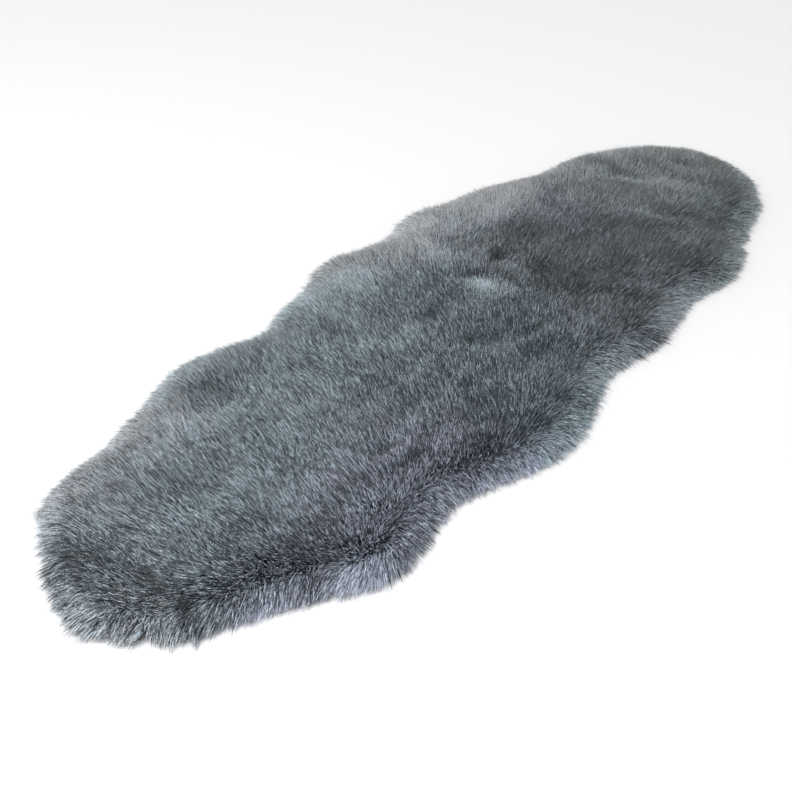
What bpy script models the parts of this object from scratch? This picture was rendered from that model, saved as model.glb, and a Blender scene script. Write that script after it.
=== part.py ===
"""Shag rug in the shape of two sheepskins laid end to end, lying flat on a floor.

Metres, +Z up. The long axis runs along X and the origin is on the floor, under the
middle of the rug. The rug is one solid: a lumpy slab of pile with locks at its rim.
"""
from collections import namedtuple

import bmesh
import bpy
import numpy as np
from mathutils import Vector

# Driving sizes
LENGTH = 1.80            # tip to tip over the pile
CROWN = 0.047            # floor to the top of the pile, away from the rim
CROWN_STARTS = 0.110     # how far in from the pile's reach the crown is level
LUMPS_FADE_IN = 2.0      # lumps have their full height half way up to the crown
COLLECTION = "double_sheepskin_rug"
NODE = "shag_rug"

# How far the pile reaches to the left (+Y) and right (-Y) of the long axis, from the near end
Section = namedtuple("Section", "x left right")
SECTIONS = [
    Section(-0.87, 0.065, 0.095),
    Section(-0.82, 0.133, 0.152),
    Section(-0.75, 0.200, 0.188),
    Section(-0.66, 0.233, 0.233),
    Section(-0.59, 0.233, 0.285),
    Section(-0.52, 0.257, 0.299),
    Section(-0.44, 0.281, 0.281),
    Section(-0.36, 0.298, 0.273),
    Section(-0.28, 0.280, 0.301),
    Section(-0.20, 0.261, 0.328),
    Section(-0.12, 0.282, 0.330),
    Section(-0.04, 0.297, 0.308),
    Section(0.06, 0.331, 0.279),
    Section(0.12, 0.312, 0.287),
    Section(0.20, 0.299, 0.298),
    Section(0.30, 0.323, 0.278),
    Section(0.38, 0.291, 0.273),
    Section(0.46, 0.277, 0.294),
    Section(0.53, 0.248, 0.282),
    Section(0.60, 0.211, 0.248),
    Section(0.70, 0.201, 0.224),
    Section(0.77, 0.163, 0.201),
    Section(0.83, 0.114, 0.160),
    Section(0.87, 0.073, 0.121),
]
NEAR_TIP = (-LENGTH / 2, -0.015)
FAR_TIP = (LENGTH / 2, -0.017)

# The rim's section, from the slab's top edge down to its flat sole
Ring = namedtuple("Ring", "name inset z")
RINGS = [
    Ring("top edge", 0.047, 0.0390),
    Ring("shoulder", 0.033, 0.0325),
    Ring("lock top", 0.025, 0.0220),
    Ring("lock foot", 0.028, 0.0040),
    Ring("sole", 0.036, 0.0),
]
LOCK_FOOT = "lock foot"  # the locks grow from the band that ends at this ring

# Soft ridges (+) and partings (-) of the pile, each along a line and as wide as it fades
Fold = namedtuple("Fold", "what x0 y0 x1 y1 half_width height")
FOLDS = [
    Fold("cross parting, top", 0.135, 0.126, 0.176, 0.052, 0.020, -0.009),
    Fold("cross parting, middle", 0.176, 0.052, 0.178, -0.017, 0.020, -0.009),
    Fold("cross parting, bend", 0.178, -0.017, 0.232, -0.113, 0.020, -0.009),
    Fold("cross parting, foot", 0.232, -0.113, 0.297, -0.270, 0.022, -0.008),
    Fold("short parting", 0.216, 0.182, 0.294, 0.158, 0.018, -0.007),
    Fold("dimple", 0.224, 0.072, 0.238, 0.072, 0.018, -0.007),
    Fold("middle ridge", -0.020, -0.113, 0.092, -0.136, 0.022, 0.006),
    Fold("near parting, upper", -0.376, -0.107, -0.325, -0.124, 0.018, -0.007),
    Fold("near parting, lower", -0.405, -0.165, -0.282, -0.156, 0.018, -0.007),
    Fold("near hollow", -0.830, 0.050, -0.790, 0.085, 0.030, -0.007),
    Fold("left back ridge", -0.680, 0.110, -0.100, 0.150, 0.055, 0.003),
    Fold("right back ridge", -0.560, -0.090, -0.120, -0.060, 0.045, 0.003),
    Fold("left hollow", -0.450, 0.170, -0.350, 0.190, 0.035, -0.005),
    Fold("waist hollow", -0.250, -0.225, -0.150, -0.225, 0.035, -0.005),
    Fold("far pelt ridge", 0.240, 0.150, 0.560, 0.060, 0.050, 0.003),
    Fold("far swell, near", 0.577, 0.054, 0.668, -0.031, 0.026, 0.005),
    Fold("far swell, far", 0.668, -0.031, 0.722, -0.177, 0.026, 0.005),
    Fold("far furrow, near", 0.493, 0.094, 0.579, -0.057, 0.026, -0.006),
    Fold("far furrow, foot", 0.579, -0.057, 0.644, -0.216, 0.026, -0.006),
    Fold("end furrow, top", 0.576, 0.145, 0.705, 0.035, 0.024, -0.006),
    Fold("end furrow, foot", 0.705, 0.035, 0.763, -0.158, 0.024, -0.006),
]

# The gentle lumps in between: waves that cross the rug at an angle to one another
Wave = namedtuple("Wave", "along across phase height")
WAVES = [
    Wave(0.310, 0.270, 0.4, 0.0014),
    Wave(0.190, -0.240, 2.1, 0.0012),
    Wave(0.130, 0.900, 4.0, 0.0009),
    Wave(-0.420, 0.140, 5.2, 0.0011),
]

# Where the tufts of the rim part, and how far in
Notch = namedtuple("Notch", "x y depth")
NOTCHES = [
    Notch(-0.853, -0.093, 0.016),
    Notch(-0.821, -0.147, 0.009),
]
NOTCH_HALF_WIDTH = 0.018

# The slab's mesh: cells along and across its top, and so round its rim
CELLS_ALONG = 80
CELLS_ACROSS = 28
STATIONS = 2 * (CELLS_ALONG + CELLS_ACROSS)
CURVE_STEPS = 16         # points of the outline's curve between two sections
RELAX_PASSES = 12

# The locks: one at each station of the rim, as far as the pile reaches
LOCK_TRIM = 0.011        # the shortest lock ends this far inside the reach
LOCK_SWAY = 0.009        # most that a tip leans along the rim
LOCK_WAIST = 0.60        # how far out a lock bends down
LOCK_WAIST_SIZE = (0.62, 0.86)   # its size there, against its root
LOCK_WAIST_Z = 0.0082
LOCK_TIP_Z = (0.0012, 0.0035)
LOCK_SEED = 11


def clear_scene():
    for thing in list(bpy.data.objects):
        bpy.data.objects.remove(thing, do_unlink=True)


def reach_curve():
    """Closed centripetal Catmull-Rom curve through the tips and the sections."""
    left = [(s.x, s.left) for s in SECTIONS]
    right = [(s.x, -s.right) for s in reversed(SECTIONS)]
    knots = np.array([NEAR_TIP, *left, FAR_TIP, *right])
    count = len(knots)
    steps = np.arange(CURVE_STEPS)[:, None] / CURVE_STEPS
    spans = []
    for i in range(count):
        p0, p1, p2, p3 = (knots[(i + j) % count] for j in (-1, 0, 1, 2))
        t1 = np.linalg.norm(p1 - p0) ** 0.5
        t2 = t1 + np.linalg.norm(p2 - p1) ** 0.5
        t3 = t2 + np.linalg.norm(p3 - p2) ** 0.5
        t = t1 + (t2 - t1) * steps
        a1 = p0 + (p1 - p0) * t / t1
        a2 = p1 + (p2 - p1) * (t - t1) / (t2 - t1)
        a3 = p2 + (p3 - p2) * (t - t2) / (t3 - t2)
        b1 = a1 + (a2 - a1) * t / t2
        b2 = a2 + (a3 - a2) * (t - t1) / (t3 - t1)
        spans.append(b1 + (b2 - b1) * (t - t1) / (t2 - t1))
    return np.concatenate(spans)


def rim_stations(curve):
    """Evenly spaced points on the reach, from the near tip round by the left side, with
    the outward direction at each."""
    closed = np.vstack([curve, curve[:1]])
    run = np.concatenate([[0.0], np.cumsum(np.linalg.norm(np.diff(closed, axis=0), axis=1))])
    at = np.arange(STATIONS) * run[-1] / STATIONS
    points = np.stack([np.interp(at, run, closed[:, 0]), np.interp(at, run, closed[:, 1])], axis=1)
    along = np.roll(points, -1, axis=0) - np.roll(points, 1, axis=0)
    outward = np.stack([-along[:, 1], along[:, 0]], axis=1)
    outward /= np.linalg.norm(outward, axis=1)[:, None]
    return points, outward


def inset_ring(points, outward, ring):
    flat = points - outward * ring.inset
    return [Vector((x, y, ring.z)) for x, y in flat]


def distance_inside(curve, x, y):
    """How far a point lies in from the pile's reach."""
    start = curve
    step = np.roll(curve, -1, axis=0) - curve
    to_point = np.array([x, y]) - start
    t = np.clip((to_point * step).sum(axis=1) / (step ** 2).sum(axis=1), 0.0, 1.0)
    return np.linalg.norm(to_point - t[:, None] * step, axis=1).min()


def fold_height(fold, x, y):
    start = Vector((fold.x0, fold.y0))
    step = Vector((fold.x1, fold.y1)) - start
    to_point = Vector((x, y)) - start
    t = min(1.0, max(0.0, to_point.dot(step) / step.length_squared))
    off = (to_point - step * t).length / fold.half_width
    return fold.height * np.exp(-off * off)


def wave_height(wave, x, y):
    return wave.height * np.sin(2 * np.pi * (x / wave.along + y / wave.across) + wave.phase)


def pile_top(curve, x, y):
    """Height of the pile's surface: a crown that falls away at the rim, with its folds.

    Where folds meet, only the highest ridge and the deepest parting count."""
    edge = RINGS[0]
    inside = distance_inside(curve, x, y)
    t = min(1.0, max(0.0, (inside - edge.inset) / (CROWN_STARTS - edge.inset)))
    rise = t * (2.0 - t)
    folds = [fold_height(fold, x, y) for fold in FOLDS]
    lumps = max(0.0, *folds) + min(0.0, *folds) + sum(wave_height(wave, x, y) for wave in WAVES)
    return edge.z + (CROWN - edge.z) * rise + lumps * min(1.0, LUMPS_FADE_IN * t)


def rim_index(i, j):
    """Station of a cell corner on the grid's border; the near tip is half way along i = 0."""
    half = CELLS_ACROSS // 2
    if i == 0:
        return (j - half) % STATIONS
    if j == CELLS_ACROSS:
        return half + i
    if i == CELLS_ALONG:
        return half + CELLS_ALONG + CELLS_ACROSS - j
    return (-half - i) % STATIONS


def patch_point(ring, i, j):
    """Coons patch: a grid point blended from the four sides of the ring around it."""
    u = i / CELLS_ALONG
    v = j / CELLS_ACROSS
    near = ring[rim_index(0, j)]
    far = ring[rim_index(CELLS_ALONG, j)]
    right = ring[rim_index(i, 0)]
    left = ring[rim_index(i, CELLS_ACROSS)]
    ends = near.lerp(far, u)
    sides = right.lerp(left, v)
    corners_near = ring[rim_index(0, 0)].lerp(ring[rim_index(0, CELLS_ACROSS)], v)
    corners_far = ring[rim_index(CELLS_ALONG, 0)].lerp(ring[rim_index(CELLS_ALONG, CELLS_ACROSS)], v)
    return ends + sides - corners_near.lerp(corners_far, u)


def add_top(bm, curve, ring):
    """The slab's top: a grid stretched over the top edge and raised to the pile's surface.

    Returns the station of each vertex on its border."""
    bmesh.ops.create_grid(bm, x_segments=CELLS_ALONG, y_segments=CELLS_ACROSS, size=0.5)
    station = {}
    inner = []
    for vert in bm.verts:
        i = round((vert.co.x + 0.5) * CELLS_ALONG)
        j = round((vert.co.y + 0.5) * CELLS_ACROSS)
        vert.co = patch_point(ring, i, j)
        if vert.is_boundary:
            station[vert] = rim_index(i, j)
        else:
            inner.append(vert)
    for _ in range(RELAX_PASSES):
        bmesh.ops.smooth_vert(bm, verts=inner, factor=0.5, use_axis_x=True, use_axis_y=True)
    for vert in inner:
        vert.co.z = pile_top(curve, vert.co.x, vert.co.y)
    return station


def grown_from(vert, station):
    """Station of the rim vertex that a newly extruded one hangs from."""
    return next(station[e.other_vert(vert)] for e in vert.link_edges if e.other_vert(vert) in station)


def add_ring(bm, station, ring):
    """Extrudes the open border down to the next ring of the rim, and returns the new faces."""
    border = [edge for edge in bm.edges if edge.is_boundary]
    made = bmesh.ops.extrude_edge_only(bm, edges=border)["geom"]
    below = {vert: grown_from(vert, station) for vert in made if isinstance(vert, bmesh.types.BMVert)}
    for vert, number in below.items():
        vert.co = ring[number]
    station.update(below)
    return [face for face in made if isinstance(face, bmesh.types.BMFace)]


def cell_number(face, station):
    """The first of a rim cell's two stations; the last cell runs on to station 0."""
    numbers = {grown_from(vert, station) for vert in face.verts}
    low, high = min(numbers), max(numbers)
    return high if high - low > 1 else low


def notch_depth(point):
    """How much shorter the locks are where the tufts of the rim part."""
    depth = 0.0
    for notch in NOTCHES:
        off = (point - Vector((notch.x, notch.y))).length / NOTCH_HALF_WIDTH
        depth += notch.depth * np.exp(-off * off)
    return depth


def add_locks(bm, band, station, points, outward):
    """Draws each cell of the lock band out to a tapering lock that bends down to the floor."""
    rng = np.random.default_rng(LOCK_SEED)
    trim = rng.uniform(0.0, LOCK_TRIM, STATIONS)
    sway = rng.uniform(-LOCK_SWAY, LOCK_SWAY, STATIONS)
    tip_z = rng.uniform(*LOCK_TIP_Z, STATIONS)
    size = rng.uniform(*LOCK_WAIST_SIZE, STATIONS)
    for end in bmesh.ops.extrude_discrete_faces(bm, faces=band)["faces"]:
        k = cell_number(end, station)
        after = (k + 1) % STATIONS
        reach = Vector((points[k] + points[after]) / 2)
        out = Vector(outward[k] + outward[after]).normalized()
        along = Vector((-out.y, out.x))
        tip = (reach - out * (trim[k] + notch_depth(reach)) + along * sway[k]).to_3d()
        tip.z = tip_z[k]
        root = end.calc_center_median()
        waist = root.lerp(tip, LOCK_WAIST)
        waist.z = LOCK_WAIST_Z
        for vert in end.verts:
            vert.co = waist + (vert.co - root) * size[k]
        peak = bmesh.ops.poke(bm, faces=[end])["verts"][0]
        peak.co = tip


def pile_material():
    material = bpy.data.materials.new("grey_pile")
    material.use_nodes = True
    shader = material.node_tree.nodes["Principled BSDF"]
    shader.inputs["Base Color"].default_value = (0.140, 0.160, 0.180, 1.0)
    shader.inputs["Roughness"].default_value = 0.9
    shader.inputs["Metallic"].default_value = 0.0
    return material


def make_rug():
    curve = reach_curve()
    points, outward = rim_stations(curve)
    rings = {ring.name: inset_ring(points, outward, ring) for ring in RINGS}
    bm = bmesh.new()
    station = add_top(bm, curve, rings[RINGS[0].name])
    faces = {ring.name: add_ring(bm, station, rings[ring.name]) for ring in RINGS[1:]}
    bmesh.ops.holes_fill(bm, edges=[edge for edge in bm.edges if edge.is_boundary], sides=0)
    bmesh.ops.recalc_face_normals(bm, faces=bm.faces)
    add_locks(bm, faces[LOCK_FOOT], station, points, outward)
    bmesh.ops.triangulate(bm, faces=bm.faces)
    mesh = bpy.data.meshes.new(NODE)
    bm.to_mesh(mesh)
    bm.free()
    mesh.materials.append(pile_material())
    mesh.shade_smooth()
    return bpy.data.objects.new(NODE, mesh)


def main():
    clear_scene()
    collection = bpy.data.collections.new(COLLECTION)
    bpy.context.scene.collection.children.link(collection)
    collection.objects.link(make_rug())


main()
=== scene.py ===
import math
from collections import namedtuple

import bpy
import numpy as np
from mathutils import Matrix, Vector
from mathutils.bvhtree import BVHTree
from mathutils.kdtree import KDTree


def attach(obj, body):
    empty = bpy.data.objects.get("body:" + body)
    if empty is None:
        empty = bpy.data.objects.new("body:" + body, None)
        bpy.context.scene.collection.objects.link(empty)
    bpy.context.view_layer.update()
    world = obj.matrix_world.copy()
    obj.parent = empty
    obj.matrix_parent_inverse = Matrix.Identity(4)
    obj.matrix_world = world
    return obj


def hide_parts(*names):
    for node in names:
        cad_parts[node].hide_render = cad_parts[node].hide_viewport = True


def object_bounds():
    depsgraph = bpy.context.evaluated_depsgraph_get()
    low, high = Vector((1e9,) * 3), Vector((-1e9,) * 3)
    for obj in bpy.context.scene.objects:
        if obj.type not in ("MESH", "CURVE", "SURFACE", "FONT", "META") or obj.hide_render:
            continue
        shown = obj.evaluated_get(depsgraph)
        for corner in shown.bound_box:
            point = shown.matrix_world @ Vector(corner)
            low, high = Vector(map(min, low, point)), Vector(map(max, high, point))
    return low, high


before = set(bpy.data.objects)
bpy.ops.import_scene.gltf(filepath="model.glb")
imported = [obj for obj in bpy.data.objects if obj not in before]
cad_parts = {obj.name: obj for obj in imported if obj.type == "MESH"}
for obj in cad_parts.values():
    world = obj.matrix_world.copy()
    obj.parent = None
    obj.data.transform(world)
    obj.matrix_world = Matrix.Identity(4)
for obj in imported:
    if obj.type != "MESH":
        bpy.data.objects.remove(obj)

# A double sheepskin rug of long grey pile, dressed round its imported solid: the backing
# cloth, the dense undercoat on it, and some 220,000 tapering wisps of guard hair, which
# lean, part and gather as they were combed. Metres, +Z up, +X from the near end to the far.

NODE = "shag_rug"
BODY = "root"
cad_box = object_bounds()
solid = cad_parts[NODE]

# The photograph's camera
PHOTO_PIXELS = 792
FOCAL_PIXELS = 1500
SENSOR_MM = 36.0
EYE = (-1.810, -1.227, 1.362)
LOOKS_DOWN = 34.0        # degrees
HEADING = 36.74          # degrees from +X

# The studio
FLOOR_SIZE = 90.0
FLOOR_BELOW = 0.0005     # the floor lies just under the sole
KEY_PLACE = (-2.3, 0.5, 2.3)
KEY_SIZE = 1.8
KEY_POWER = 58.0
SKY_STRENGTH = 0.82

# The backing and the undercoat
WELD = 0.00002           # the solid's loose triangles join where their corners are this close
SOLE_HIGHEST = 0.0005
STRAIGHT_DOWN = -0.99    # a face looks down where its normal's z is no more than this
SOLE_INSET = 0.036       # the cut edge of the backing, in from the pile's reach
BACKING_THICK = 0.0025
UNDERCOAT_FOOT = 0.003   # the undercoat starts just above the backing
UNDERCOAT_RISE = 0.46    # its height against the solid's
UNDERCOAT_REACH = 0.040  # past this far in it follows the solid
UNDERCOAT_KEEPS = 0.25   # and nearer the rim it is drawn in, to this share of its width

# The wisps, from root to tip
CROWN_SPACING = 0.00214
CROWN_WIDTH = 0.0034
COLLAR_FROM = 0.052      # roots nearer the reach than this make the rim's long locks
COLLAR_TO = 0.080        # and up to this, the collar behind them
COLLAR_SPACING = 0.0020
COLLAR_WIDTH = 0.0038
RIM_FROM = 0.036         # the roots nearest the reach, at the cut edge
RIM_FROM_SLACK = 0.001   # and some just outside it
RIM_SPACING = 0.0015
RIM_WIDTH = 0.0023
FUZZ_TO = 0.060          # fine pale hairs stand out of the rim, rooted up to here
FUZZ_SPACING = 0.0036
FUZZ_WIDTH = 0.0009
FUZZ_LONGER = 0.007
FUZZ_PALER = 0.22
WIDTH_RANDOM = (0.75, 1.25)
WISP_ROOT = 0.003        # how deep a wisp is rooted in the undercoat
WISP_LOWEST = 0.0003     # no part of a wisp is nearer the floor than this
ROOT_LOW = 0.004         # how high the rim's roots are, at the cut edge
ROOT_RISE = 0.030        # and how much higher where the roll begins, if the undercoat is
LATTICE_ROW = 0.866      # the rows of a triangular lattice, against its spacing
LATTICE_JITTER = 0.42

# The rim's roll: how the tips spread from the cut edge's roots down to the floor
ROLL_DEEP = 0.125        # the roll starts this far in from the reach
ROLL_HIGH = 0.047
ROLL_SPREAD = 1.7        # the higher, the nearer the edge the tips are drawn outwards
ROLL_ROUND = 3.6         # the higher, the squarer its shoulder
ROLL_EASE = 1.2          # how the combing fades into the roll
ROLL_MEETS = (2.2, 0.5)  # how the roll's height gives way to the solid's: steepness and lag
ROLL_EVEN = 0.3          # the share of the pile's unevenness that is left at the cut edge
COMB_SHIFT = 0.016       # how far the combing shifts the rim's tips
COMB_SWEEP = 0.020       # and sweeps them along the rim by this much more
BEND_AT = (0.42, 0.42, 0.55)   # where a wisp bends, from root to tip
BEND_SWEEP = 0.30        # how far its bend stays behind the sweep
BEND_RISE = 0.012        # and how high it arches, at the cut edge
REACH_STEPS = 20         # points of the reach's curve for each lock
LOCK_WIDE = 0.020
LOCK_SHORTEST = 0.02     # no lock of the solid's is taken to stop farther short of the reach
WISP_ON_MAP = 0.0009     # half the width of a wisp on its map

# Where the pile reaches farther out than its cut edge calls for, or less far
Reach = namedtuple("Reach", "what x y size more")
REACHES = [
    Reach("near end, side", -0.88, 0.06, 0.07, -0.022),
    Reach("near end, tip", -0.88, -0.09, 0.06, -0.018),
    Reach("near end, left", -0.79, 0.18, 0.08, -0.005),
    Reach("near end, right", -0.73, -0.20, 0.07, -0.016),
    Reach("near pelt, left", -0.50, 0.25, 0.09, -0.005),
    Reach("near pelt, left lobe", -0.32, 0.28, 0.06, 0.004),
    Reach("near waist, left", -0.18, 0.26, 0.06, -0.012),
    Reach("near pelt, right", -0.62, -0.28, 0.10, -0.011),
    Reach("near pelt, right lobe", -0.28, -0.33, 0.07, 0.004),
    Reach("far waist, right", 0.15, -0.30, 0.16, -0.010),
    Reach("far pelt, left", 0.38, 0.29, 0.10, 0.008),
    Reach("far end, left", 0.75, 0.16, 0.16, 0.005),
    Reach("far end, tip", 0.90, 0.00, 0.08, 0.005),
    Reach("far pelt, right", 0.46, -0.29, 0.11, -0.013),
    Reach("far end, right", 0.70, -0.23, 0.09, -0.014),
]
LEFT_OUT = (0.6, 0.8)    # the pile whose rim faces this way, to the left and the far end,
LEFT_REACHES = 0.0125    # leans out over its edge by this much more
LEFT_STANDS = 0.010      # and stands this much higher along its shoulder
STRAYS = 0.026           # no tip goes farther past the solid's box than this

# Splits in the rim, where its locks part: the point they part from, and which way it opens
Split = namedtuple("Split", "what x y bearing long wide")
SPLITS = [
    Split("near end, right", -0.845, -0.088, 225, 0.036, 0.017),
    Split("near end, far right", -0.808, -0.130, 232, 0.040, 0.007),
    Split("far end, right", 0.600, -0.215, 285, 0.045, 0.012),
]
SPLIT_OPENS = 1.2        # a split opens to this many times its width at most,
SPLIT_RUNS_ON = 1.6      # runs on for this many times its length,
SPLIT_CLEARS = 3         # and shifts tips up to this many times its width away

# Tufts: fine ones of a few wisps, and broad ones
Tuft = namedtuple("Tuft", "size pull lift tone")
TUFTS = [
    Tuft(0.0065, 0.20, 0.0020, 0.08),
    Tuft(0.0170, 0.14, 0.0020, 0.07),
    Tuft(0.0420, 0.05, 0.0016, 0.07),
]
TUFT_DOME = 0.4          # how much a tuft's middle stands above its sides, against its lift
TIP_RANDOM = 0.0042      # how far a tip strays by itself
TIP_TALL = 0.0011        # how much taller than the next it may be
TIP_BELOW = 0.001        # how far the tips are below the solid's surface, on the whole
TIP_LOWEST = 0.0012      # how near the floor the lowest tips come
TIP_LOWEST_RANDOM = 0.001
REACH_RANDOM = 0.0035    # how unevenly the rim's wisps reach out
LOCK_GATHERS = 0.50      # how far a rim lock's tips draw together
LOCK_POINT = 0.008       # how much farther out its middle reaches than its sides
TUFTED_END = -0.70       # the near end, up to here, has marked locks, and the rest fine ones
TUFTED_FADE = 0.08
FINE_LOCKS = 0.35

# The way the pile was combed: where its tips lean, as a bearing from +X, and how far over
Comb = namedtuple("Comb", "what x y bearing lean")
COMBS = [
    Comb("near end, middle", -0.82, 0.00, 172, 38),
    Comb("near end, right", -0.82, -0.12, 215, 46),
    Comb("near end, far right", -0.73, -0.20, 178, 54),
    Comb("near end, left", -0.76, 0.13, 140, 40),
    Comb("near pelt, left", -0.55, 0.17, 126, 34),
    Comb("near pelt, middle", -0.58, -0.02, 130, 33),
    Comb("near pelt, right", -0.60, -0.17, 200, 34),
    Comb("near pelt, back", -0.35, 0.05, 124, 33),
    Comb("near pelt, left lobe", -0.34, 0.20, 122, 34),
    Comb("near pelt, partings", -0.36, -0.15, 105, 14),
    Comb("waist, right", -0.18, -0.20, 110, 8),
    Comb("waist, middle", -0.12, 0.00, 122, 27),
    Comb("waist, left", -0.10, 0.20, 120, 32),
    Comb("middle, left", 0.08, 0.22, 118, 28),
    Comb("middle", 0.08, 0.03, 116, 18),
    Comb("middle, right", 0.06, -0.16, 290, 14),
    Comb("far pelt, near left", 0.30, 0.18, 330, 12),
    Comb("far pelt, near", 0.32, 0.00, 315, 26),
    Comb("far pelt, near right", 0.32, -0.19, 305, 34),
    Comb("far pelt, left", 0.52, 0.13, 20, 20),
    Comb("far pelt, middle", 0.55, -0.03, 325, 34),
    Comb("far pelt, right", 0.55, -0.19, 305, 40),
    Comb("far end, left", 0.76, 0.08, 45, 32),
    Comb("far end, right", 0.76, -0.10, 322, 42),
]
COMB_REACH = 0.12        # how far one row's bearing carries

# How unevenly it was combed: by how much, and over what size
Uneven = namedtuple("Uneven", "amount size")
COMB_TURN = Uneven(16.0, 0.10)      # degrees
COMB_TWIST = Uneven(9.0, 0.03)      # degrees
COMB_STRETCH = Uneven(0.20, 0.07)

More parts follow.
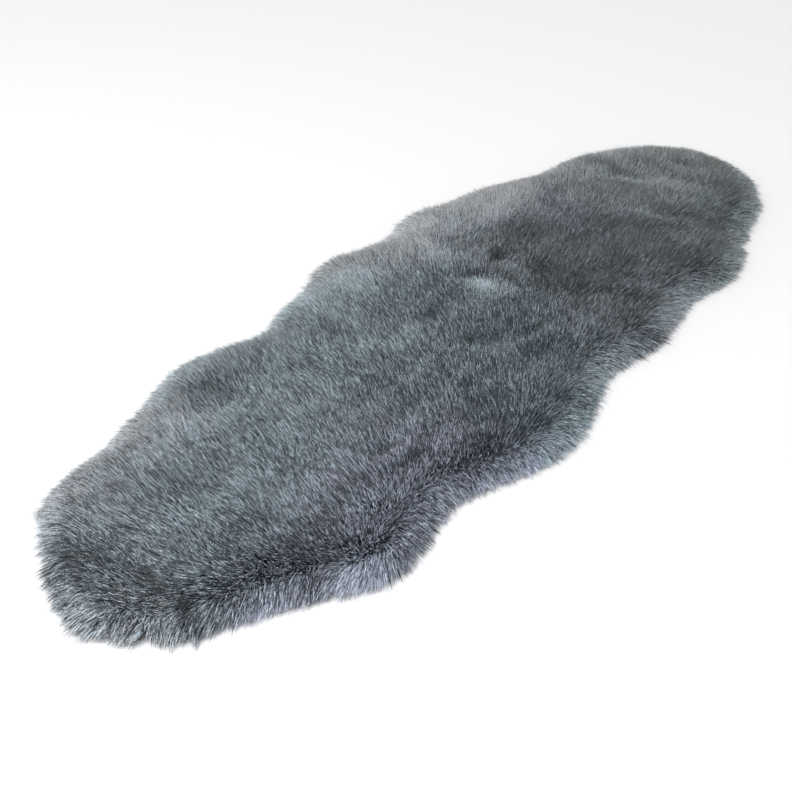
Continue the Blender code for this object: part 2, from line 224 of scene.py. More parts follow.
# Painted sheen and shade: paler and darker patches where the pile's lean catches or turns from the
# light, and creases in shade, soft-edged, longer one way than the other
Patch = namedtuple("Patch", "x y long wide bearing tone")
SHEEN_AND_SHADE_PATCHES = [
    # the near end
    Patch(-0.890, -0.075, 0.030, 0.030, 0, -0.17),
    Patch(-0.852, -0.030, 0.070, 0.018, 84, 0.14),
    Patch(-0.800, 0.055, 0.060, 0.034, 66, -0.30),
    Patch(-0.800, 0.140, 0.080, 0.025, 42, 0.22),
    Patch(-0.790, -0.104, 0.020, 0.010, 10, 0.20),
    Patch(-0.785, 0.095, 0.026, 0.022, 0, -0.16),
    Patch(-0.780, -0.050, 0.090, 0.024, 88, -0.22),
    Patch(-0.770, -0.170, 0.110, 0.035, -25, 0.14),
    Patch(-0.765, -0.112, 0.024, 0.014, 60, -0.30),
    Patch(-0.710, -0.020, 0.100, 0.055, 90, -0.10),
    # the near pelt, near half
    Patch(-0.700, 0.015, 0.050, 0.020, 30, 0.07),
    Patch(-0.670, -0.170, 0.045, 0.030, 0, 0.12),
    Patch(-0.640, -0.275, 0.045, 0.025, 0, -0.20),
    Patch(-0.640, -0.260, 0.030, 0.015, -30, -0.14),
    Patch(-0.630, -0.090, 0.050, 0.022, 10, -0.16),
    Patch(-0.620, -0.190, 0.060, 0.022, -10, -0.10),
    Patch(-0.590, 0.190, 0.040, 0.020, 20, 0.09),
    Patch(-0.580, -0.050, 0.080, 0.050, 5, -0.08),
    Patch(-0.580, 0.185, 0.040, 0.014, 0, 0.20),
    Patch(-0.577, -0.130, 0.060, 0.035, 0, -0.06),
    Patch(-0.575, -0.165, 0.080, 0.034, 5, -0.20),
    Patch(-0.570, 0.015, 0.060, 0.016, 5, -0.14),
    Patch(-0.560, -0.300, 0.050, 0.030, 0, 0.10),
    Patch(-0.560, -0.245, 0.060, 0.022, 0, 0.22),
    Patch(-0.550, 0.050, 0.080, 0.026, 5, -0.20),
    Patch(-0.520, -0.045, 0.080, 0.036, 5, 0.05),
    # the near pelt, far half
    Patch(-0.500, 0.155, 0.050, 0.028, 10, 0.23),
    Patch(-0.490, -0.260, 0.100, 0.030, 0, -0.18),
    Patch(-0.450, -0.295, 0.040, 0.025, 0, -0.13),
    Patch(-0.450, -0.210, 0.090, 0.030, 0, 0.12),
    Patch(-0.450, 0.235, 0.050, 0.020, 0, 0.07),
    Patch(-0.430, -0.270, 0.080, 0.014, 0, -0.16),
    Patch(-0.430, 0.005, 0.050, 0.016, 5, 0.14),
    Patch(-0.420, -0.150, 0.035, 0.030, 5, -0.20),
    Patch(-0.400, 0.170, 0.060, 0.035, 10, -0.16),
    Patch(-0.397, -0.266, 0.016, 0.011, -27, -0.30),
    Patch(-0.380, -0.045, 0.100, 0.022, 3, -0.16),
    Patch(-0.370, 0.060, 0.050, 0.030, 90, 0.08),
    Patch(-0.356, -0.168, 0.033, 0.008, 0, -0.36),
    Patch(-0.355, -0.234, 0.030, 0.020, 0, 0.08),
    Patch(-0.353, -0.124, 0.022, 0.007, -14, -0.32),
    Patch(-0.330, -0.142, 0.080, 0.010, 15, 0.12),
    # the waist
    Patch(-0.300, -0.130, 0.040, 0.030, 0, -0.06),
    Patch(-0.260, -0.040, 0.045, 0.030, 0, -0.07),
    Patch(-0.260, 0.235, 0.050, 0.020, 0, 0.05),
    Patch(-0.250, -0.230, 0.070, 0.025, 5, -0.12),
    Patch(-0.250, 0.000, 0.050, 0.030, 0, -0.08),
    Patch(-0.245, -0.120, 0.055, 0.045, 0, -0.13),
    Patch(-0.240, -0.300, 0.050, 0.028, 0, 0.08),
    Patch(-0.240, 0.030, 0.070, 0.018, 20, -0.10),
    Patch(-0.210, 0.110, 0.060, 0.030, 0, -0.07),
    Patch(-0.200, -0.165, 0.060, 0.025, 0, -0.07),
    Patch(-0.190, -0.035, 0.090, 0.014, 2, -0.12),
    Patch(-0.180, -0.285, 0.050, 0.025, 0, 0.08),
    Patch(-0.180, -0.190, 0.090, 0.030, 0, -0.08),
    Patch(-0.170, 0.045, 0.030, 0.016, 0, -0.16),
    Patch(-0.170, 0.225, 0.050, 0.030, 0, -0.09),
    Patch(-0.160, -0.220, 0.040, 0.030, 0, -0.06),
    Patch(-0.150, -0.080, 0.060, 0.020, 0, -0.12),
    Patch(-0.150, -0.030, 0.040, 0.030, 0, -0.05),
    Patch(-0.140, -0.133, 0.014, 0.011, -18, -0.32),
    Patch(-0.140, 0.070, 0.070, 0.022, 130, 0.14),
    Patch(-0.130, -0.220, 0.060, 0.030, 0, -0.12),
    Patch(-0.120, -0.130, 0.060, 0.040, 20, -0.16),
    Patch(-0.100, -0.030, 0.080, 0.010, 15, 0.07),
    Patch(-0.080, -0.295, 0.050, 0.030, 0, 0.08),
    Patch(-0.030, -0.135, 0.060, 0.025, 0, -0.07),
    Patch(-0.027, -0.058, 0.020, 0.010, -31, -0.40),
    Patch(-0.020, -0.030, 0.110, 0.090, 0, -0.08),
    Patch(-0.010, 0.270, 0.040, 0.020, 0, -0.20),
    Patch(-0.003, 0.033, 0.012, 0.010, -21, -0.38),
    # the middle
    Patch(0.010, -0.060, 0.050, 0.030, 0, -0.12),
    Patch(0.020, 0.280, 0.050, 0.022, 0, -0.17),
    Patch(0.030, -0.285, 0.060, 0.025, 0, -0.08),
    Patch(0.030, -0.160, 0.040, 0.020, 0, -0.16),
    Patch(0.030, -0.085, 0.040, 0.012, 0, -0.12),
    Patch(0.030, 0.100, 0.120, 0.018, 0, -0.12),
    Patch(0.035, -0.136, 0.075, 0.007, -13, 0.22),
    Patch(0.050, 0.045, 0.060, 0.024, 0, -0.16),
    Patch(0.050, 0.070, 0.050, 0.030, 0, -0.05),
    Patch(0.050, 0.190, 0.080, 0.030, 0, 0.10),
    Patch(0.061, -0.118, 0.034, 0.010, -16, -0.42),
    Patch(0.120, -0.165, 0.070, 0.022, 0, -0.12),
    Patch(0.130, 0.112, 0.050, 0.014, 0, -0.16),
    Patch(0.146, 0.038, 0.034, 0.026, 80, 0.42),
    Patch(0.150, -0.080, 0.060, 0.050, 0, -0.11),
    Patch(0.150, 0.240, 0.300, 0.050, 0, 0.24),
    Patch(0.166, 0.074, 0.028, 0.008, -45, -0.36),
    Patch(0.170, -0.285, 0.090, 0.025, 0, -0.09),
    Patch(0.180, -0.158, 0.040, 0.030, 0, -0.06),
    Patch(0.180, -0.050, 0.040, 0.020, 0, -0.06),
    Patch(0.185, 0.170, 0.050, 0.028, 90, 0.24),
    Patch(0.187, 0.022, 0.032, 0.008, -100, -0.34),
    Patch(0.200, -0.270, 0.090, 0.024, 0, -0.24),
    Patch(0.220, 0.085, 0.030, 0.014, 30, 0.14),
    Patch(0.240, -0.060, 0.090, 0.038, 75, -0.30),
    Patch(0.240, 0.077, 0.026, 0.009, 20, -0.36),
    Patch(0.240, 0.280, 0.035, 0.020, 0, -0.09),
    # the far pelt
    Patch(0.250, 0.175, 0.036, 0.007, -27, -0.24),
    Patch(0.270, -0.170, 0.050, 0.020, 90, -0.16),
    Patch(0.280, -0.090, 0.040, 0.030, 0, -0.14),
    Patch(0.300, -0.210, 0.060, 0.022, 0, 0.22),
    Patch(0.330, 0.090, 0.070, 0.045, 0, -0.22),
    Patch(0.390, 0.180, 0.140, 0.045, -8, 0.25),
    Patch(0.400, -0.060, 0.130, 0.100, 0, -0.20),
    Patch(0.410, -0.115, 0.040, 0.030, 0, -0.10),
    Patch(0.420, 0.175, 0.120, 0.035, -15, 0.15),
    Patch(0.450, -0.150, 0.060, 0.035, 0, -0.12),
    Patch(0.460, -0.230, 0.100, 0.034, 8, -0.08),
    Patch(0.520, 0.090, 0.040, 0.018, 80, 0.12),
    Patch(0.535, -0.010, 0.110, 0.010, 104, 0.10),
    Patch(0.585, -0.020, 0.110, 0.016, 104, -0.10),
    # the far end
    Patch(0.640, -0.200, 0.040, 0.016, 10, -0.12),
    Patch(0.652, 0.045, 0.090, 0.022, 104, 0.26),
    Patch(0.720, -0.140, 0.040, 0.022, 0, 0.12),
    Patch(0.730, 0.120, 0.050, 0.030, 0, 0.18),
    Patch(0.820, 0.000, 0.050, 0.030, 90, 0.12),
]
RELIEF_LIGHT_AND_SHADE = 22.0       # painted light and shade: ridges are this much paler for each metre that they stand up by, and hollows darker
RELIEF_SPAN = 0.014      # how far off their surroundings are looked at
RELIEF_MOST = 0.24
UPHILL_SHIFT = 0.028     # how far a slope of 1 would shift the tips uphill

# The dye of the fibres: each row of the wisps' map has its tint, each place its leaning to one
Tint = namedtuple("Tint", "name red green blue")
TINTS = [
    Tint("slate", 0.88, 1.00, 1.12),
    Tint("teal", 0.83, 1.01, 1.14),
    Tint("violet", 0.90, 0.97, 1.18),
    Tint("moss", 0.87, 1.02, 1.07),
    Tint("ash", 0.93, 0.99, 1.08),
]
Dye = namedtuple("Dye", "x y size tint")
DYES = [
    Dye(-0.80, 0.06, 0.14, 0),
    Dye(-0.66, 0.20, 0.10, 4),
    Dye(-0.50, 0.20, 0.09, 4),
    Dye(-0.62, -0.24, 0.10, 2),
    Dye(-0.60, 0.02, 0.12, 1),
    Dye(-0.42, -0.22, 0.11, 2),
    Dye(-0.38, 0.13, 0.16, 1),
    Dye(-0.30, -0.20, 0.08, 2),
    Dye(-0.05, 0.00, 0.17, 1),
    Dye(-0.05, -0.10, 0.12, 1),
    Dye(-0.88, -0.06, 0.07, 4),
    Dye(0.12, -0.22, 0.09, 0),
    Dye(0.28, -0.05, 0.13, 0),
    Dye(0.15, 0.29, 0.09, 4),
    Dye(0.46, -0.03, 0.11, 2),
    Dye(0.45, 0.25, 0.08, 4),
    Dye(0.58, -0.08, 0.14, 3),
    Dye(0.70, 0.06, 0.08, 0),
    Dye(0.84, 0.00, 0.07, 3),
]
DYE_MOTTLE = Uneven(0.55, 0.028)      # how unevenly the dyes took
DYE_SHARP = 1.5          # the higher, the less two dyes mix where they meet
ROOT_SHADE_TINT = (0.78, 1.00, 1.16, 1.0)   # the painted shade deep in the pile is tinted teal
TIP_TINT = (1.02, 1.00, 0.98, 1.0)    # and it warms a little towards the tips

# The wisps' tones, from 0, the darkest, to 1
PILE_TONE = 0.488
MOTTLE_TONE = Uneven(0.03, 0.05)
TONE_ENDS = (0.01, 0.99)
# painted sheen and shade in soft bands: how marked they are, and below, how wide and how long
BAND_SHEEN_AND_SHADE = 0.05
NEAR_BAND = 0.030        # how wide the bands along the near pelt are
NEAR_BAND_LONG = 0.22    # the lower, the longer they are
FAR_BAND = 0.032         # and the same for those across the far pelt
FAR_BAND_LONG = 0.25
FAR_BAND_FROM = 0.30     # which take over from here
FAR_BAND_FADE = 0.25     # over this far
FAR_BAND_MORE = 1.6      # and are this many times as marked
TONE_RANDOM = 0.20       # how much wisps differ, one from the next
RIM_FINER = 0.30         # the rim's differ less by this share
SIDE_TONE = 0.21         # and the three sides of one
TALL_PALE = 0.036        # and how much paler the tall ones are
FAR_FINER = 0.50         # the far pelt's streaks are softer by this share
FAR_FROM = 0.10          # from here
FAR_FADE = 0.40          # over this far
RIM_PALE = 0.24          # the rim's tips are paler by this much
RIM_PALE_RIGHT = 0.04    # and by this much more on the right, and less on the left
RIM_PALE_ENDS = 5        # the higher, the nearer the cut edge this ends
SHOULDER_SHADE = 0.10    # the right shoulder is darker by this much
SHOULDER_AT = 0.34       # there, in the roll
SHOULDER_WIDE = 0.30
SEED = 20

# The finish of the hair, and the shade and light painted along it
HAIR_GREYS = ((22, 28, 32), (91, 92, 92), (242, 236, 230))
HAIR_SHADE = (0.42, 1.17)    # painted shade at the root and painted light at the tip
RIM_SHADE = (0.38, 1.42)
SHADE_CURVE = 1.5        # the higher, the nearer the tip it lightens
FLECK_FINE = (220.0, 70.0, 1.0)
FLECK_TONE = 1.25
MAP_MARGIN = 0.02        # how far a row of the wisps' map keeps off the next


def deselect():
    bpy.ops.object.select_all(action="DESELECT")


def finish_piece(piece, name, material):
    piece.name = name
    piece.data.name = name
    piece.data.materials.clear()
    piece.data.materials.append(material)
    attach(piece, BODY)
    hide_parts(NODE)
    return piece


# Shader nodes


class Signal:
    """A node's output that Python's operators work on."""

    def __init__(self, tree, socket):
        self.tree = tree
        self.socket = socket

    def maths(self, operation, first, second):
        return node(self.tree, "ShaderNodeMath", {"operation": operation}, {0: first, 1: second})

    def __add__(self, other):
        return self.maths("ADD", self, other)

    def __sub__(self, other):
        return self.maths("SUBTRACT", self, other)

    def __mul__(self, other):
        return self.maths("MULTIPLY", self, other)

    def __mod__(self, other):
        return self.maths("MODULO", self, other)


def node(tree, kind, settings=None, inputs=None, output=0):
    """Adds a node: its settings first, then a value or a link for each socket named."""
    made = tree.nodes.new(kind)
    for name, value in (settings or {}).items():
        if name == "stops":
            fill_ramp(made.color_ramp, value)
        elif name == "interpolation":
            made.color_ramp.interpolation = value
        else:
            setattr(made, name, value)
    for name, value in (inputs or {}).items():
        if isinstance(value, Signal):
            tree.links.new(value.socket, made.inputs[name])
        else:
            made.inputs[name].default_value = value
    return Signal(tree, made.outputs[output])


def fill_ramp(ramp, stops):
    while len(ramp.elements) < len(stops):
        ramp.elements.new(1.0)
    for element, (place, colour) in zip(ramp.elements, stops):
        element.position = place
        element.color = colour


def srgb(red, green, blue):
    """A colour as it looks on screen, 0 to 255, in the numbers that a shader takes."""
    return tuple(((c / 255 + 0.055) / 1.055) ** 2.4 for c in (red, green, blue)) + (1.0,)


def new_material(name, roughness):
    material = bpy.data.materials.new(name)
    material.use_nodes = True
    shader = material.node_tree.nodes["Principled BSDF"]
    shader.inputs["Roughness"].default_value = roughness
    return material, material.node_tree, shader


def wisp_material(name, root_shade, tip_shade):
    """Guard hair. Its map has a row for each tint: across a row runs the tone of each wisp,
    and up it the way from root to tip, along which shade is painted at the root and light at the tip."""
    material, tree, shader = new_material(name, 0.55)
    shader.inputs["Specular IOR Level"].default_value = 0.35
    shader.inputs["Sheen Weight"].default_value = 0.25
    shader.inputs["Sheen Roughness"].default_value = 0.4
    place = node(tree, "ShaderNodeUVMap", {"uv_map": "OFBake"})
    tone = node(tree, "ShaderNodeSeparateXYZ", {}, {0: place}, 0)
    rows = node(tree, "ShaderNodeSeparateXYZ", {}, {0: place}, 1) * float(len(TINTS))
    up = rows % 1.0
    row = (rows - up) * (1.0 / len(TINTS)) + 0.5 / len(TINTS)
    fleck = node(tree, "ShaderNodeVectorMath", {"operation": "MULTIPLY"}, {0: place, 1: FLECK_FINE})
    streak = node(tree, "ShaderNodeTexNoise", {"noise_dimensions": "2D"},
                  {"Vector": fleck, "Scale": 1.0, "Detail": 1.0})
    greys = [(n / 2, srgb(*grey)) for n, grey in enumerate(HAIR_GREYS)]
    grey = node(tree, "ShaderNodeValToRGB", {"stops": greys}, {0: tone + (streak - 0.5) * FLECK_TONE})
    bands = [(n / len(TINTS), (t.red, t.green, t.blue, 1.0)) for n, t in enumerate(TINTS)]
    tint = node(tree, "ShaderNodeValToRGB", {"interpolation": "CONSTANT", "stops": bands}, {0: row})
    dyed = node(tree, "ShaderNodeVectorMath", {"operation": "MULTIPLY"}, {0: grey, 1: tint})
    # painted shade darkens the root and painted light brightens the tip
    towards_tip = node(tree, "ShaderNodeMath", {"operation": "POWER"}, {0: up, 1: SHADE_CURVE})
    shade = towards_tip * (tip_shade - root_shade) + root_shade
    shaded = node(tree, "ShaderNodeVectorMath", {"operation": "SCALE"}, {0: dyed, 3: shade})
    # the painted shade at the root is tinted teal, and the tips a little warm
    shade_tint = node(tree, "ShaderNodeMix", {"data_type": "RGBA"},
                {0: towards_tip, 6: ROOT_SHADE_TINT, 7: TIP_TINT}, 2)
    shade_tinted = node(tree, "ShaderNodeVectorMath", {"operation": "MULTIPLY"}, {0: shaded, 1: shade_tint})
    tree.links.new(shade_tinted.socket, shader.inputs["Base Color"])
    return material


def shaded_undercoat_material():
    material, tree, shader = new_material("undercoat_wool_shaded", 0.9)
    place = node(tree, "ShaderNodeTexCoord", output=3)
    wool = node(tree, "ShaderNodeTexNoise", {}, {"Vector": place, "Scale": 320.0, "Detail": 4.0})
    drift = node(tree, "ShaderNodeTexNoise", {}, {"Vector": place, "Scale": 26.0, "Detail": 2.0})
    # Dark: the wool's own grey, with painted shade for the depths between the wisps.
    colour = node(tree, "ShaderNodeValToRGB",
                  {"stops": [(0.30, srgb(44, 51, 57)), (0.72, srgb(82, 91, 100))]},
                  {0: wool * 0.7 + drift * 0.3})
    bump = node(tree, "ShaderNodeBump", {}, {"Strength": 0.8, "Distance": 0.003, "Height": wool})
    tree.links.new(colour.socket, shader.inputs["Base Color"])
    tree.links.new(bump.socket, shader.inputs["Normal"])
    return material


def backing_material():
    """Suede-like backing cloth: a fine nap over a close plain weave."""
    material, tree, shader = new_material("backing_cloth", 0.85)
    place = node(tree, "ShaderNodeTexCoord", output=3)
    thread = {"Vector": place, "Scale": 190.0}
    warp = node(tree, "ShaderNodeTexWave", {"bands_direction": "X"}, thread)
    weft = node(tree, "ShaderNodeTexWave", {"bands_direction": "Y"}, thread)
    nap = node(tree, "ShaderNodeTexNoise", {}, {"Vector": place, "Scale": 55.0, "Detail": 6.0})
    colour = node(tree, "ShaderNodeValToRGB",
                  {"stops": [(0.25, srgb(104, 108, 114)), (0.75, srgb(134, 138, 145))]},
                  {0: nap * 0.8 + warp * 0.1 + weft * 0.1})
    bump = node(tree, "ShaderNodeBump", {}, {"Strength": 0.4, "Distance": 0.0006,
                                             "Height": warp * 0.5 + weft * 0.5})
    tree.links.new(colour.socket, shader.inputs["Base Color"])
    tree.links.new(bump.socket, shader.inputs["Normal"])
    return material


def floor_material():
    material, tree, shader = new_material("pale_floor", 0.9)
    shader.inputs["Base Color"].default_value = srgb(246, 246, 247)
    return material


# The camera, the floor and the light


def add_camera():
    tilt = math.radians(90.0 - LOOKS_DOWN)
    turn = math.radians(HEADING - 90.0)
    bpy.ops.object.camera_add(location=EYE, rotation=(tilt, 0.0, turn))
    camera = bpy.context.object
    camera.data.sensor_width = SENSOR_MM
    camera.data.lens = FOCAL_PIXELS / PHOTO_PIXELS * SENSOR_MM
    bpy.context.scene.camera = camera


def add_studio():
    bpy.ops.mesh.primitive_plane_add(size=FLOOR_SIZE, location=(0.0, 0.0, -FLOOR_BELOW))
    floor = bpy.context.object
    floor.name = "floor"
    floor.data.materials.append(floor_material())
    bpy.ops.object.light_add(type="AREA", location=KEY_PLACE)
    key = bpy.context.object
    key.data.size = KEY_SIZE
    key.data.energy = KEY_POWER
    key.rotation_euler = (-Vector(key.location)).to_track_quat("-Z", "Y").to_euler()
    world = bpy.data.worlds.new("studio")
    world.use_nodes = True
    sky = world.node_tree.nodes["Background"]
    sky.inputs["Color"].default_value = (1.0, 1.0, 1.0, 1.0)
    sky.inputs["Strength"].default_value = SKY_STRENGTH
    bpy.context.scene.world = world
    bpy.context.scene.view_settings.view_transform = "Standard"


# The rug's outline and surface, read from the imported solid


def merged_copy(name):
    """A copy of the solid with its loose triangles joined, selected and active."""
    deselect()
    mesh = solid.data.copy()
    copy = bpy.data.objects.new(name, mesh)
    bpy.context.scene.collection.objects.link(copy)
    copy.select_set(True)
    bpy.context.view_layer.objects.active = copy
    bpy.ops.object.mode_set(mode="EDIT")
    bpy.ops.mesh.select_all(action="SELECT")
    bpy.ops.mesh.remove_doubles(threshold=WELD)
    bpy.ops.mesh.select_all(action="DESELECT")
    bpy.ops.object.mode_set(mode="OBJECT")
    return copy


def add_backing():
    """The cloth under the pile: the solid's flat sole, cut free, facing up."""
    piece = merged_copy("backing")
    bpy.ops.object.mode_set(mode="EDIT")
    bpy.ops.mesh.select_mode(type="FACE")
    bpy.ops.object.mode_set(mode="OBJECT")
    for face in piece.data.polygons:
        face.select = face.normal.z > STRAIGHT_DOWN or face.center.z > SOLE_HIGHEST
    bpy.ops.object.mode_set(mode="EDIT")
    bpy.ops.mesh.delete(type="FACE")
    bpy.ops.mesh.select_all(action="SELECT")
    bpy.ops.mesh.flip_normals()
    bpy.ops.mesh.select_mode(type="VERT")
    bpy.ops.object.mode_set(mode="OBJECT")
    return piece


def edge_loop(piece):
    """The places of the vertices round a flat piece's edge, in order, anticlockwise, and the
    area inside."""
    used = {}
    for face in piece.data.polygons:
        for key in face.edge_keys:
            used[key] = used.get(key, 0) + 1
    after = {}
    for (a, b), count in used.items():
        if count == 1:
            after.setdefault(a, []).append(b)
            after.setdefault(b, []).append(a)
    start = next(iter(after))
    ring, last = [start], None
    while True:
        here = ring[-1]
        following = after[here][0] if after[here][0] != last else after[here][1]
        if following == start:
            break
        last = here
        ring.append(following)
    places = np.array([piece.data.vertices[i].co.xy for i in ring])
    area = np.sum(places[:, 0] * np.roll(places[:, 1], -1) - places[:, 1] * np.roll(places[:, 0], -1))
    return (places if area > 0 else places[::-1]), abs(area) / 2


def smooth_reach(loop):
    """The pile's reach, SOLE_INSET outside the sole's edge, as a dense closed curve, with
    the outward direction at each point."""
    along = np.roll(loop, -1, axis=0) - np.roll(loop, 1, axis=0)
    outward = np.stack([along[:, 1], -along[:, 0]], axis=1)
    outward /= np.linalg.norm(outward, axis=1)[:, None]
    reach = loop + outward * SOLE_INSET
    share = np.arange(len(loop) * REACH_STEPS) / REACH_STEPS
    low = share.astype(int)
    high = (low + 1) % len(loop)
    part = (share - low)[:, None]
    points = reach[low] * (1 - part) + reach[high] * part
    aims = outward[low] * (1 - part) + outward[high] * part
    return points, aims / np.linalg.norm(aims, axis=1)[:, None]


class Footprint:
    """Says how far in from the pile's reach a place is, and which way is out."""

    def __init__(self, points, outward):
        self.points = points
        self.outward = outward
        self.locks = None    # how far each rim lock stops short of the reach, once measured
        self.tree = KDTree(len(points))
        for index, (x, y) in enumerate(points):
            self.tree.insert((x, y, 0.0), index)
        self.tree.balance()

    def look(self, places):
        nearest = np.array([self.tree.find((x, y, 0.0))[1] for x, y in places])
        out = self.outward[nearest]
        inset = -((places - self.points[nearest]) * out).sum(axis=1)
        return inset, out, nearest


def surface_heights(places):
    """Height of the solid's top at each place, or 0 past its rim."""
    mesh = solid.data
    tree = BVHTree.FromPolygons([v.co for v in mesh.vertices], [p.vertices for p in mesh.polygons])
    down = Vector((0.0, 0.0, -1.0))
    heights = []
    for x, y in places:
        hit = tree.ray_cast(Vector((x, y, 1.0)), down)[0]
        heights.append(hit.z if hit else 0.0)
    return np.array(heights)


# Fields over the rug


def ripple(places, size, seed):
    """Smooth noise between about -1 and 1, with features of this size."""
    rng = np.random.default_rng(seed)
    total = np.zeros(len(places))
    waves = 9
    for bearing, stretch, phase in rng.uniform((0, 0.7, 0), (2 * np.pi, 1.5, 2 * np.pi), (waves, 3)):
        along = places[:, 0] * np.cos(bearing) + places[:, 1] * np.sin(bearing)
        total += np.sin(2 * np.pi * along / (size * 2 * stretch) + phase)
    return total / waves ** 0.5


def combed(places):
    """The level part of the pile's lean at each place: how far its tips lie over for each
    metre of height."""
    total = np.zeros((len(places), 2))
    weights = np.full(len(places), 1e-9)
    for comb in COMBS:
        off = places - (comb.x, comb.y)
        weight = np.exp(-(off ** 2).sum(axis=1) / (2 * COMB_REACH ** 2))
        over = math.tan(math.radians(comb.lean))
        bearing = math.radians(comb.bearing)
        total += weight[:, None] * over * np.array([math.cos(bearing), math.sin(bearing)])
        weights += weight
    lean = total / weights[:, None]
    turn = np.radians(COMB_TURN.amount) * ripple(places, COMB_TURN.size, SEED + 1)
    turn += np.radians(COMB_TWIST.amount) * ripple(places, COMB_TWIST.size, SEED + 2)
    stretch = 1.0 + COMB_STRETCH.amount * ripple(places, COMB_STRETCH.size, SEED + 3)
    c, s = np.cos(turn), np.sin(turn)
    turned = np.stack([c * lean[:, 0] - s * lean[:, 1], s * lean[:, 0] + c * lean[:, 1]], axis=1)
    return turned * stretch[:, None]


# Painted sheen and shade: each listed patch makes the pile paler or darker, soft-edged.
def painted_sheen_and_shade(places):
    tone = np.zeros(len(places))
    for patch in SHEEN_AND_SHADE_PATCHES:
        bearing = math.radians(patch.bearing)
        off = places - (patch.x, patch.y)
        along = off @ (math.cos(bearing), math.sin(bearing)) / patch.long
        across = off @ (-math.sin(bearing), math.cos(bearing)) / patch.wide
        tone += patch.tone * np.exp(-along ** 2 - across ** 2)
    return tone


def tuft_of(places, size, seed):
    """Each place's tuft: its middle, a number between 0 and 1 of its own, and how far off its
    middle is."""
    rng = np.random.default_rng(seed)
    low = places.min(axis=0) - 2 * size
    counts = tuple(((places.max(axis=0) - low) / size).astype(int) + 4)
    middles = rng.uniform(0.05, 0.95, counts + (2,))
    own = rng.uniform(0.0, 1.0, counts)
    cell = ((places - low) / size).astype(int)
    best = np.full(len(places), np.inf)
    middle = np.zeros_like(places)
    number = np.zeros(len(places))
    for i in (-1, 0, 1):
        for j in (-1, 0, 1):
            near = cell + (i, j)
            spot = low + (near + middles[near[:, 0], near[:, 1]]) * size
            far = np.linalg.norm(places - spot, axis=1)
            closer = far < best
            best = np.where(closer, far, best)
            middle[closer] = spot[closer]
            number[closer] = own[near[closer, 0], near[closer, 1]]
    return middle, number, best


def scattered(spacing, seed):
    """A jittered triangular lattice over the rug's box."""
    rng = np.random.default_rng(seed)
    low, high = (np.array(corner[:2]) for corner in cad_box)
    rows = np.arange(low[1], high[1], spacing * LATTICE_ROW)
    columns = np.arange(low[0], high[0], spacing)
    x, y = np.meshgrid(columns, rows)
    x = x + (np.arange(len(rows)) % 2)[:, None] * spacing / 2
    places = np.stack([x.ravel(), y.ravel()], axis=1)
    return places + rng.uniform(-LATTICE_JITTER, LATTICE_JITTER, places.shape) * spacing


# Wisps


Form = namedtuple("Form", "points faces sides")


def model_wisp(bends, point):
    """One wisp of unit size, three-sided: a cone for its point, whose foot is drawn out ring
    by ring to a root, so that it can bend at each ring. With no bends it is all point."""
    deselect()
    bpy.ops.mesh.primitive_cone_add(vertices=3, radius1=1.0, radius2=0.0, depth=point,
                                    end_fill_type="NOTHING" if bends else "NGON",
                                    location=(0.0, 0.0, 1.0 - 0.5 * point))
    wisp = bpy.context.object
    bpy.ops.object.transform_apply(location=True, rotation=True, scale=True)
    for _ in range(bends):
        foot = min(v.co.z for v in wisp.data.vertices)
        for vertex in wisp.data.vertices:
            vertex.select = vertex.co.z < foot + 1e-4
        for edge in wisp.data.edges:
            edge.select = all(wisp.data.vertices[i].select for i in edge.vertices)
        bpy.ops.object.mode_set(mode="EDIT")
        down = (0.0, 0.0, (point - 1.0) / bends)
        bpy.ops.mesh.extrude_region_move(TRANSFORM_OT_translate={"value": down})
        bpy.ops.object.mode_set(mode="OBJECT")
    bpy.ops.object.mode_set(mode="EDIT")
    if bends:
        bpy.ops.mesh.merge(type="CENTER")
    bpy.ops.mesh.select_all(action="SELECT")
    bpy.ops.mesh.quads_convert_to_tris()
    bpy.ops.mesh.normals_make_consistent(inside=False)
    bpy.ops.object.mode_set(mode="OBJECT")
    points = np.array([v.co for v in wisp.data.vertices])
    faces = np.array([p.vertices for p in wisp.data.polygons])
    turned = [math.atan2(p.normal.y, p.normal.x) for p in wisp.data.polygons]
    sides = np.round(np.array(turned) * 3 / (2 * np.pi) + 0.75).astype(int) % 3
    bpy.data.objects.remove(wisp, do_unlink=True)
    return Form(points, faces, sides)


Wisps = namedtuple("Wisps", "root bend tip width tone tint")


def pick(wisps, chosen):
    return Wisps(*(field[chosen] for field in wisps))


